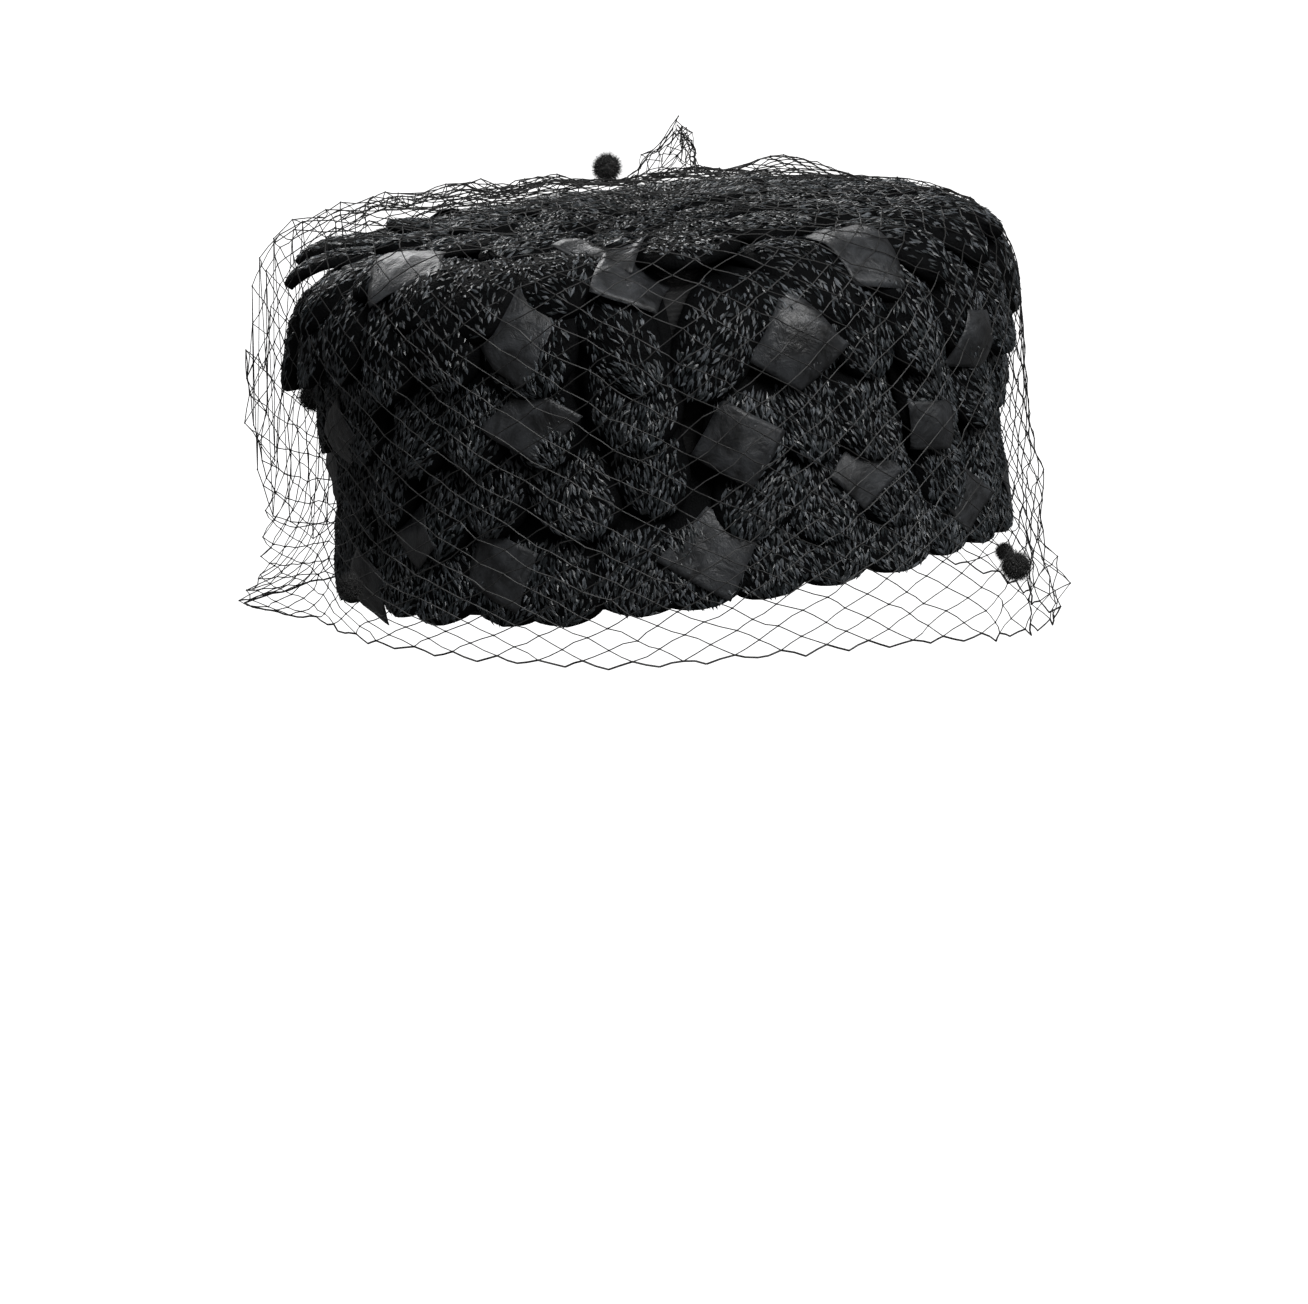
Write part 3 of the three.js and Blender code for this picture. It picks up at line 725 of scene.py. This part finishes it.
def makeSquare(index, one, random):
    steps = square["steps"]
    half = square["side"] * square["scale"] * one["size"] / 2
    share = np.linspace(-1, 1, steps)
    across, onward = np.meshgrid(share, share)
    taper, skew = random.normal(0, 0.12, 2)
    across = across * (1 + taper * onward) + skew * onward
    turn = math.radians(one["turn"])
    arc = half * (across * math.cos(turn) - onward * math.sin(turn))
    reach = half * (across * math.sin(turn) + onward * math.cos(turn))
    middle = one["down"] * pathLength
    distance = middle + reach
    azimuth = one["azimuth"] + np.degrees(arc / radiusAt(middle))
    under = coverUnder(azimuth.ravel(), distance.ravel(), (one["azimuth"], middle))
    found = under > 0
    side, up = arc.ravel() / half, reach.ravel() / half
    basis = np.stack([np.ones(arc.size), side, up, square["bend"] * side**2, square["bend"] * up**2], 1)
    shape, *_ = np.linalg.lstsq(basis[found], under[found], rcond=None)
    flat = basis @ shape
    rise = (flat + np.quantile((under - flat)[found], square["showing"])).reshape(arc.shape)
    phase = random.uniform(0, 6.28, 4)
    crease = 0.14 * mm * np.sin(4.5 * across + 2 * onward + phase[0])
    crease = crease + 0.08 * mm * np.sin(9 * onward - 5 * across + phase[1])
    curl = random.uniform(0.1, 0.6) * mm * (across * onward) * np.sign(math.sin(phase[2]))
    fold = np.abs(across * math.cos(phase[3]) + onward * math.sin(phase[3]) - 0.35 * math.sin(phase[2]))
    curl = curl + square["fold"] * (0.5 - fold)
    standOff = np.minimum(rise, square["highest"]) + square["lift"] + crease + curl
    outer = coverPoints(azimuth, distance, standOff)
    inner = coverPoints(azimuth, distance, standOff - square["thickness"])
    points, faces = plateMesh(outer, inner)
    # The squares marked for it get the film with painted glints.
    look = paintedGlintMaterial if one.get("scuffed") else filmMaterial
    piece = newPiece("film_%d" % index, points, [faces], [look])
    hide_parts("film_square_%d" % index)


def makeSquares():
    random = np.random.default_rng(5)
    squares = nearSquares + [farSquare(index) for index in range(farSquares)]
    for index, one in enumerate(squares):
        makeSquare(index + 1, one, random)
    return len(squares)


print("film squares:", makeSquares())


# Veil: a fine diamond net. Knots lie on rings from the hem to the middle of the top, each
# turned by half a column, and the columns halve where they come close together.

veil = {
    "columns": 52,
    "halfCell": 3.6 * mm,
    "firstStep": 0.55,
    "sideStretch": 1.35,
    "thread": 0.16 * mm,
    "hemThread": 0.27 * mm,
    "knot": 0.36 * mm,
    "slack": 0.24 * mm,
    "radius": 103.2 * mm,
    "hem": 9 * mm,
    "dip": 17 * mm,
    "rise": 8 * mm,
    "shoulderStart": 70 * mm,
    "shoulderWidth": 27 * mm,
    "onPetals": 10.6 * mm,
    "frontRoom": 3.5 * mm,
    "dotInside": 2.6 * mm,
    "pullAround": 17,
    "pullUp": 20 * mm,
    "closest": 4.2 * mm,
    "rear": 226,
    "left": 44,
}

# The net is crumpled into a tuft near the middle of the top.
tuft = {
    "middle": (9.5 * mm, -8.5 * mm),
    "swell": 3 * mm,
    "height": 11 * mm,
    "width": 9.5 * mm,
    "slant": 0.65,
    "columns": 15,
    "rings": 7,
    "mess": 1.2 * mm,
    "thread": 0.13 * mm,
}


def towards(azimuth, centre):
    return np.maximum(0, np.cos(np.radians(azimuth - centre))) ** 2


def veilHem(azimuth):
    return veil["rise"] * towards(azimuth, 235) - veil["hem"] - veil["dip"] * towards(azimuth, 50)


# A round net pulled out to a corner: how much wider it is at an azimuth, for a reach of its
# corner, with straight runs from the round to the corner.
def corner(azimuth, centre, reach):
    opening = np.arccos(1 / reach)
    return 1 / np.cos(np.maximum(0, opening - np.abs(np.radians(turnsApart(azimuth, centre)))))


# How far the net stands out at a height: drawn out to a corner over the right rear, flared
# at its hem on both sides, with a soft roll over the left.
def veilShape(azimuth, height):
    rear = 1.135 + 0.075 * hill(height, -1 * mm, 7 * mm) - 0.03 * hill(height, 32 * mm, 9 * mm)
    left = 1.005 + 0.075 * hill(height, -17 * mm, 12 * mm) + 0.035 * hill(height, 14 * mm, 11 * mm)
    swaying = veil["rear"] + 3 * np.sin(height * 70)
    wide = veil["radius"] * corner(azimuth, swaying, rear) * corner(azimuth, veil["left"], left)
    angle = np.radians(azimuth)
    folds = np.sin(5 * angle + height * 30 + 1) + 0.6 * np.sin(11 * angle - height * 45)
    folds = folds + 0.4 * np.sin(23 * angle)
    loose = 0.2 + 0.3 * towards(azimuth, 232) + 0.8 * towards(azimuth, 50)
    bunch = np.sin(26 * angle + height * 20) * (towards(azimuth, 45) + towards(azimuth, 230))
    bunch = bunch * hill(height, -14 * mm, 12 * mm)
    front = veil["frontRoom"] * towards(azimuth, 315) ** 2
    return wide + front + (folds * loose + 1.8 * bunch) * mm


# Each dot holds the net out to where it sits.
def dotPlaces():
    found = []
    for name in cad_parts:
        if name.startswith("chenille_dot_"):
            low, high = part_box(name)
            x, y, z = (np.array(low) + np.array(high)) / 2
            azimuth = math.degrees(math.atan2(x, -y)) % 360
            radius = math.hypot(x, y)
            if radius > veil["shoulderStart"]:
                reach = radius - veil["dotInside"] - veilShape(azimuth, z)
                found.append((azimuth, z, reach))
    return found


dotHolds = dotPlaces()
print("dots that hold the net out:", len(dotHolds))


def veilRadius(azimuth, height):
    total = 1e-9
    moved = 0
    for dotAzimuth, dotHeight, reach in dotHolds:
        around = hill(turnsApart(azimuth, dotAzimuth), 0, veil["pullAround"])
        pull = around * hill(height, dotHeight, veil["pullUp"])
        total = total + pull
        moved = moved + reach * pull * pull
    return veilShape(azimuth, height) + moved / total


# The top lies on the petals, but stands off over the right rear, rises in a gathered peak
# by the middle and in a bubble before it.
def veilTop(azimuth, radius):
    distance = np.interp(np.minimum(radius, 88 * mm), outline[:, 0], outlineAt)
    height = np.interp(distance, outlineAt, outline[:, 1]) + veil["onPetals"]
    angle = np.radians(azimuth)
    x, y = radius * np.sin(angle), -radius * np.cos(angle)
    height = height + 8 * mm * towards(azimuth, 228) * np.clip(radius / (76 * mm), 0, 1)
    fromPeak = np.hypot(x - tuft["middle"][0], y - tuft["middle"][1])
    peak = tuft["swell"] * hill(fromPeak, 0, tuft["width"])
    bubble = 5 * mm * np.exp(-((x - 27 * mm) ** 2 + (y + 27 * mm) ** 2) / (13 * mm) ** 2)
    wrinkle = (0.7 * np.sin(6 * angle + radius * 60) + 0.5 * np.sin(x * 210) + 0.5 * np.sin(y * 170)) * mm
    away, aside = (x + y) / math.sqrt(2), (x - y) / math.sqrt(2)
    roll = np.sin(away * 380 + 1.5 * np.sin(aside * 150)) + 0.5 * np.sin(aside * 260 + 2)
    roll = 1.8 * mm * roll * towards(azimuth, 228) * np.clip(radius / (40 * mm), 0, 1)
    return height + peak + bubble + roll + wrinkle * np.clip(radius / (20 * mm), 0.2, 1)


# A ring of knots round the net, at a way along it: up the side, over the shoulder, and in
# over the top.
def veilRing(azimuth, part, share):
    start = veil["shoulderStart"]
    atStart = veilRadius(azimuth, start)
    width = veil["shoulderWidth"]
    if part == "side":
        hem = veilHem(azimuth)
        squeezed = share ** (1 + 0.8 * hill(turnsApart(azimuth, veil["rear"]), 0, 16))
        height = hem + squeezed * (start - hem)
        radius = veilRadius(azimuth, height)
    elif part == "shoulder":
        sharpness = 2 / (2.1 + 3.5 * towards(azimuth, 232))
        turn = np.linspace(0, math.pi / 2, 60)[:, None]
        lift = veilTop(azimuth, atStart - width) - start
        bendRadius = atStart - width * (1 - np.maximum(0, np.cos(turn)) ** sharpness)
        bendHeight = start + lift * np.sin(turn) ** sharpness
        run = np.cumsum(np.hypot(np.diff(bendRadius, axis=0), np.diff(bendHeight, axis=0)), axis=0)
        run = np.vstack([np.zeros(len(azimuth)), run / run[-1]])
        radius = np.array([np.interp(share, one, values) for one, values in zip(run.T, bendRadius.T)])
        height = np.array([np.interp(share, one, values) for one, values in zip(run.T, bendHeight.T)])
    else:
        radius = (atStart - width) * (1 - share)
        height = veilTop(azimuth, radius)
    return radius, height


def veilLevels():
    half = veil["halfCell"]
    sideCount = round((veil["shoulderStart"] + veil["hem"] + 0.4 * veil["dip"]) / half / 1.1)
    rises = np.linspace(0.9, veil["sideStretch"], sideCount)
    rises[0] = veil["firstStep"]
    shares = np.concatenate([[0], np.cumsum(rises)[:-1]]) / rises.sum()
    levels = [("side", share) for share in shares]
    shoulderCount = round(1.25 * (veil["shoulderWidth"] + 6 * mm) / half)
    levels += [("shoulder", level / shoulderCount) for level in range(shoulderCount)]
    reach = veil["radius"] - veil["shoulderWidth"]
    topCount = round(reach / half)
    levels += [("top", level / topCount) for level in range(topCount - 1)]
    return levels


def tubes(starts, ends, radii):
    along = ends - starts
    length = np.linalg.norm(along, axis=1)[:, None]
    keep = length[:, 0] > 1e-6
    starts, ends, along, length = starts[keep], ends[keep], along[keep], length[keep]
    radii = np.asarray(radii)[keep][:, None]
    along = along / length
    helper = np.where(np.abs(along[:, 2:3]) < 0.9, np.array([[0, 0, 1.0]]), np.array([[1.0, 0, 0]]))
    side = np.cross(along, helper)
    side /= np.linalg.norm(side, axis=1)[:, None]
    other = np.cross(along, side)
    ring = [side, other, -side, -other]
    points = np.stack([starts + one * radii for one in ring] + [ends + one * radii for one in ring], 1)
    box = [(0, 1, 5, 4), (1, 2, 6, 5), (2, 3, 7, 6), (3, 0, 4, 7), (3, 2, 1, 0), (4, 5, 6, 7)]
    faces = (np.arange(len(points))[:, None, None] * 8 + np.array(box)[None]).reshape(-1, 4)
    return points.reshape(-1, 3), faces


def tuftRing(turn, share):
    around = tuft["width"] * (1 - share) ** 0.9 + 1.4 * mm
    aside = np.cos(turn) * around
    aside = np.where(aside < 0, aside * (1 + tuft["slant"]), aside * (1 - tuft["slant"]))
    away = np.sin(turn) * around * 0.7
    x = tuft["middle"][0] + (aside + away) / math.sqrt(2)
    y = tuft["middle"][1] + (away - aside) / math.sqrt(2)
    base = veilTop(np.degrees(np.arctan2(x, -y)), np.hypot(x, y))
    return np.stack([x, y, base + tuft["height"] * share], 1)


def makeVeil():
    random = np.random.default_rng(21)
    count = veil["columns"]
    starts, ends, radii = [], [], []

    def join(lower, upper, shift, thick):
        starts.append(lower)
        ends.append(np.roll(upper, -shift, axis=0))
        radii.append(np.full(len(lower), thick))

    last = None
    for level, (part, share) in enumerate(veilLevels()):
        cell = 2 * math.pi * (veil["radius"] - veil["shoulderWidth"]) * (1 - share) / count
        halve = part == "top" and level % 2 == 1 and cell < veil["closest"] and count > 14
        if halve:
            count //= 2
        azimuth = (np.arange(count) + (level % 2) / 2) * 360 / count
        azimuth = azimuth + random.normal(0, 0.05, count) * 360 / count
        radius, height = veilRing(azimuth, part, share)
        height = height + random.normal(0, 0.28, count) * mm
        angle = np.radians(azimuth)
        ring = np.stack([radius * np.sin(angle), -radius * np.cos(angle), height], 1)
        if halve:
            join(last[1::2], ring, 0, veil["thread"])
            last = last[::2]
        if last is not None:
            thick = veil["hemThread"] if level == 1 else veil["thread"]
            join(last, ring, 0, thick)
            join(last, ring, -1 if level % 2 else 1, thick)
        last = ring
    centre = np.array([[0, 0, veilTop(0.0, 0.0)]])
    join(last, np.repeat(centre, len(last), axis=0), 0, veil["thread"])
    last = None
    for level in range(tuft["rings"]):
        share = level / (tuft["rings"] - 1)
        turn = (np.arange(tuft["columns"]) + (level % 2) / 2) * 2 * math.pi / tuft["columns"]
        ring = tuftRing(turn, share)
        ring += random.normal(0, 1, ring.shape) * tuft["mess"] * min(1, 2.5 * share)
        if last is not None:
            join(last, ring, 0, tuft["thread"])
            join(last, ring, -1 if level % 2 else 1, tuft["thread"])
        last = ring
    knots = np.vstack(ends)
    roots, thickness = np.vstack(starts), np.concatenate(radii)
    middles = (roots + knots) / 2 + random.normal(0, 1, knots.shape) * veil["slack"]
    points, faces = tubes(np.vstack([roots, middles]), np.vstack([middles, knots]), np.tile(thickness, 2))
    spread = np.vstack([np.eye(3), -np.eye(3)]) * veil["knot"]
    knotPoints = (knots[:, None, :] + spread[None]).reshape(-1, 3)
    diamond = [(0, 1, 2), (1, 3, 2), (3, 4, 2), (4, 0, 2), (1, 0, 5), (3, 1, 5), (4, 3, 5), (0, 4, 5)]
    knotFaces = (np.arange(len(knots))[:, None, None] * 6 + np.array(diamond)[None]).reshape(-1, 3)
    knotFaces = knotFaces + len(points)
    points = np.vstack([points, knotPoints])
    piece = newPiece("veil_net", points, [faces, knotFaces], [threadMaterial], smooth=False)
    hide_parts("veil")
    return 2 * len(faces) + len(knotFaces)


print("veil:", makeVeil(), "triangles")


# Chenille dots: a soft core under a pile of fine tapering fibres.

dot = {"core": 3.1 * mm, "pile": 4.9 * mm, "fibres": 2200, "fibreWidth": 0.09 * mm}
dotScale = {2: 0.68, 3: 0.85, 6: 0.9}
dotShift = {2: (-2 * mm, 2 * mm, 0)}  # so that the two dots by the rim stand apart


def sphereDirections(count):
    index = np.arange(count) + 0.5
    polar = np.arccos(1 - 2 * index / count)
    turn = math.pi * (1 + 5**0.5) * index
    return np.stack([np.cos(turn) * np.sin(polar), np.sin(turn) * np.sin(polar), np.cos(polar)], 1)


def makeDot(index, random):
    node = "chenille_dot_%d" % index
    low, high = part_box(node)
    middle = np.array((low + high) / 2) + dotShift.get(index, (0, 0, 0))
    rings, around = 9, 14
    polar = np.linspace(0.12, math.pi - 0.12, rings)[:, None]
    turn = np.arange(around)[None, :] * 2 * math.pi / around
    core = np.stack(
        [np.sin(polar) * np.cos(turn), np.sin(polar) * np.sin(turn), np.cos(polar) + 0 * turn], -1
    ).reshape(-1, 3)
    core = core * (dot["core"] * (1 + 0.12 * random.normal(size=(len(core), 1))))
    corePoints = np.vstack([core, [[0, 0, dot["core"]], [0, 0, -dot["core"]]]])
    body = gridFaces(rings, around, closed=True)
    first = np.arange(around)
    after = (first + 1) % around
    last = (rings - 1) * around
    caps = [
        np.stack([np.full(around, len(core)), first, after], -1),
        np.stack([np.full(around, len(core) + 1), last + after, last + first], -1),
    ]
    outward = sphereDirections(dot["fibres"])
    tipAim = outward + random.normal(0, 0.28, outward.shape)
    tipAim /= np.linalg.norm(tipAim, axis=1)[:, None]
    reach = dot["pile"] * random.uniform(0.72, 1.08, (len(outward), 1))
    side = np.cross(outward, random.normal(size=outward.shape))
    side /= np.linalg.norm(side, axis=1)[:, None]
    other = np.cross(outward, side)
    root = outward * dot["core"] * 0.9
    spread = [side, -0.5 * side + 0.87 * other, -0.5 * side - 0.87 * other]
    fibre = np.stack([root + one * dot["fibreWidth"] for one in spread] + [tipAim * reach], 1)
    cone = [(0, 1, 3), (1, 2, 3), (2, 0, 3), (2, 1, 0)]
    fibreFaces = (np.arange(len(outward))[:, None, None] * 4 + np.array(cone)[None]).reshape(-1, 3)
    points = np.vstack([corePoints, fibre.reshape(-1, 3)]) * dotScale.get(index, 1) + middle
    faces = [body, *caps, fibreFaces + len(corePoints)]
    piece = newPiece("pile_dot_%d" % index, points, faces, [chenilleMaterial], smooth=False)
    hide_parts(node)


dotRandom = np.random.default_rng(8)
dotCount = sum(name.startswith("chenille_dot_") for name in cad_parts)
for index in range(1, dotCount + 1):
    makeDot(index, dotRandom)
print("chenille dots:", dotCount)


# Studio: a white room far round the hat, soft lights, and the camera.

studio = {"floor": -1.4, "reach": 2.8, "rise": 3.9, "bend": 0.6, "around": 72, "glow": 1.0, "world": 0.13}


def makeSweep():
    reach, bend, low, around = studio["reach"], studio["bend"], studio["floor"], studio["around"]
    angles = np.linspace(0, math.pi / 2, 13)
    line = [(0.05, low)]
    line += [(reach - bend + bend * math.sin(a), low + bend - bend * math.cos(a)) for a in angles]
    line += [(reach, low + studio["rise"]), (0.05, low + studio["rise"])]
    turns = np.arange(around) * 2 * math.pi / around
    points = np.array([(r * math.sin(t), -r * math.cos(t), z) for r, z in line for t in turns])
    mesh = bpy.data.meshes.new("sweep")
    faces = gridFaces(len(line), around, closed=True).tolist()
    faces += [list(range(around)), list(range(len(points) - around, len(points)))]
    mesh.from_pydata(points.tolist(), [], faces)
    for polygon in mesh.polygons:
        polygon.use_smooth = True
    finish = Finish("paleSweep", {"Roughness": 0.9, "Specular IOR Level": 0.1})
    paper = finish.noise(6.0, 2.0)
    finish.feed("Base Color", finish.mix(paper, grey(0.86), grey(0.9)))
    finish.shader.inputs["Emission Color"].default_value = grey(1.0)
    finish.shader.inputs["Emission Strength"].default_value = studio["glow"]
    mesh.materials.append(finish.material)
    sweep = bpy.data.objects.new("sweep", mesh)
    sweep.visible_diffuse = False
    sweep.visible_glossy = False
    sweep.visible_shadow = False
    bpy.context.scene.collection.objects.link(sweep)


def makeLight(name, azimuth, elevation, distance, size, power):
    light = bpy.data.lights.new(name, "AREA")
    light.shape = "RECTANGLE"
    light.size, light.size_y = size
    light.energy = power
    lamp = bpy.data.objects.new(name, light)
    turn, rise = math.radians(azimuth), math.radians(elevation)
    aim = Vector((math.sin(turn) * math.cos(rise), -math.cos(turn) * math.cos(rise), math.sin(rise)))
    lamp.location = aim * distance + Vector((0, 0, 0.05))
    lamp.rotation_mode = "QUATERNION"
    lamp.rotation_quaternion = aim.to_track_quat("Z", "Y")
    bpy.context.scene.collection.objects.link(lamp)


def makeWorld():
    world = bpy.data.worlds.new("studio")
    world.use_nodes = True
    background = world.node_tree.nodes["Background"]
    background.inputs["Color"].default_value = (1.0, 1.0, 1.0, 1.0)
    background.inputs["Strength"].default_value = studio["world"]
    bpy.context.scene.world = world
    bpy.context.scene.view_settings.view_transform = "Standard"


# The middle of the hat lands in the upper part of the frame, as in the photograph.
photoCamera = {
    "azimuth": -45,
    "elevation": 8,
    "roll": 5.2,
    "distance": 1.15,
    "lens": 111.74,
    "aim": (0, 0, 46 * mm),
    "right": 7 / 4060,
    "up": 252 / 4060,
}


def makeCamera():
    turn, rise = math.radians(photoCamera["azimuth"]), math.radians(photoCamera["elevation"])
    back = Vector((math.sin(turn) * math.cos(rise), -math.cos(turn) * math.cos(rise), math.sin(rise)))
    level = (-back).cross(Vector((0, 0, 1))).normalized()
    top = level.cross(-back)
    roll = math.radians(photoCamera["roll"])
    right = math.cos(roll) * level - math.sin(roll) * top
    up = math.sin(roll) * level + math.cos(roll) * top
    forward = (-back - photoCamera["right"] * right - photoCamera["up"] * up).normalized()
    right = forward.cross(up).normalized()
    up = right.cross(forward)
    data = bpy.data.cameras.new("camera")
    data.lens = photoCamera["lens"]
    data.sensor_width = 36
    data.clip_start, data.clip_end = 0.01, 50
    camera = bpy.data.objects.new("camera", data)
    turned = Matrix((right, up, -forward)).transposed().to_4x4()
    stand = Vector(photoCamera["aim"]) + back * photoCamera["distance"]
    camera.matrix_world = Matrix.Translation(stand) @ turned
    bpy.context.scene.collection.objects.link(camera)
    bpy.context.scene.camera = camera


makeSweep()
makeWorld()
makeLight("key", -16, 38, 1.6, (0.6, 0.6), 20)
makeLight("fill", 25, 22, 1.8, (0.9, 0.9), 7)
makeLight("top", -45, 68, 1.5, (0.9, 0.7), 8)
makeLight("back", 150, 32, 2.0, (1.2, 0.8), 20)
makeCamera()
print("studio ready")
